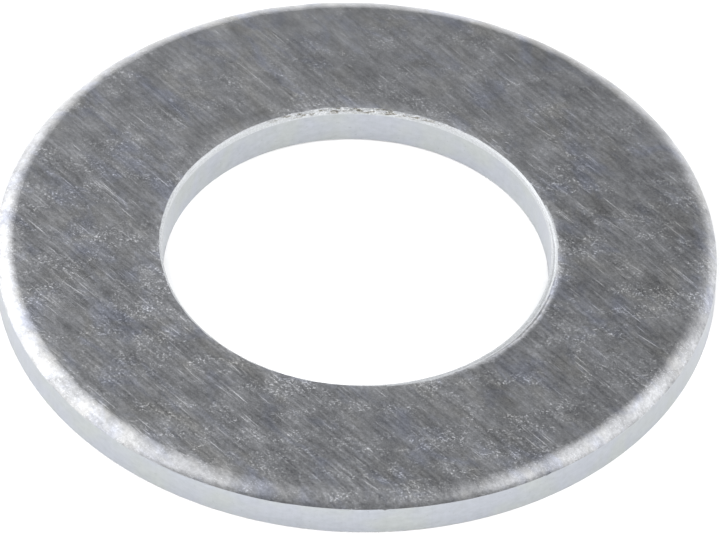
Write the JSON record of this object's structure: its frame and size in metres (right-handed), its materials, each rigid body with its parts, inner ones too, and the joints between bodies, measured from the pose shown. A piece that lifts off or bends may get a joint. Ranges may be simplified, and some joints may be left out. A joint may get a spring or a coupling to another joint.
{
  "type": "flat washer",
  "caption": "Thin round flat washer with a plain central hole, stamped from steel strip, with a softly rolled outer edge on its top face.",
  "frame": {"origin": "centre of the hole, at the bottom flat face", "axes": "+Z along the hole's axis, out of the top face, which is the face with the softly rolled outer edge; +X and +Y lie in the bottom face"},
  "size_m": [0.024, 0.024, 0.0014],
  "materials": {
    "zinc_plate": "bright zinc plate over stamped steel strip, satin rolled faces, smooth sheared edges"
  },
  "bodies": {
    "root": {"washer": "zinc_plate"}
  },
  "joints": []
}
